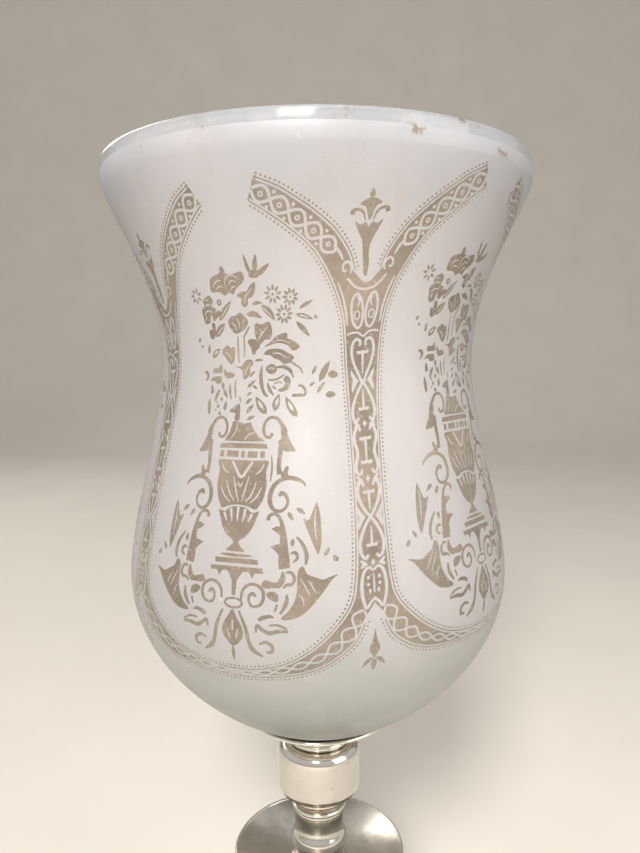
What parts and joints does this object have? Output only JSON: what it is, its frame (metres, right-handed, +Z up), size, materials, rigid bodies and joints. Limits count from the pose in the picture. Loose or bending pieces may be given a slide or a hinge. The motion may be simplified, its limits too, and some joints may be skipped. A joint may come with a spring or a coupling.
{
  "type": "glass candle holder",
  "caption": "Footed candle holder: a flared, waisted, etched glass shade lifts off a dished tray on a turned metal stem with a drip pan and a weighted round foot.",
  "frame": {"origin": "on the table surface, under the centre of the round foot", "axes": "+Z up along the stem; +Y points away from the picture's camera, +X to its right"},
  "size_m": [0.1252, 0.1252, 0.2845],
  "materials": {
    "frosted_glass": "satin, acid-etched",
    "plated_metal": "mirror-polished plate",
    "gasket": "matt",
    "cast_weight": "as cast",
    "felt": "felt",
    "rod_steel": "zinc-plated",
    "washer_steel": "zinc-plated",
    "nut_brass": "as machined"
  },
  "bodies": {
    "holder": {"shade_gasket": "gasket", "candle_cup": "plated_metal", "shade_tray": "plated_metal", "neck_ring": "plated_metal", "barrel_knop": "plated_metal", "knop_collar": "plated_metal", "upper_baluster": "plated_metal", "upper_pan_ring": "plated_metal", "drip_pan": "plated_metal", "lower_pan_ring": "plated_metal", "lower_baluster": "plated_metal", "foot_ring": "plated_metal", "foot_shell": "plated_metal", "foot_weight": "cast_weight", "felt_pad": "felt", "tie_rod": "rod_steel", "flat_washer": "washer_steel", "split_washer": "washer_steel", "tie_nut": "nut_brass"},
    "shade": {"glass_shade": "frosted_glass"}
  },
  "joints": [
    {"name": "shade_lift", "type": "slide", "parent": "holder", "child": "shade", "axis": [0, 0, 1], "range_m": [0, 0.04]}
  ]
}
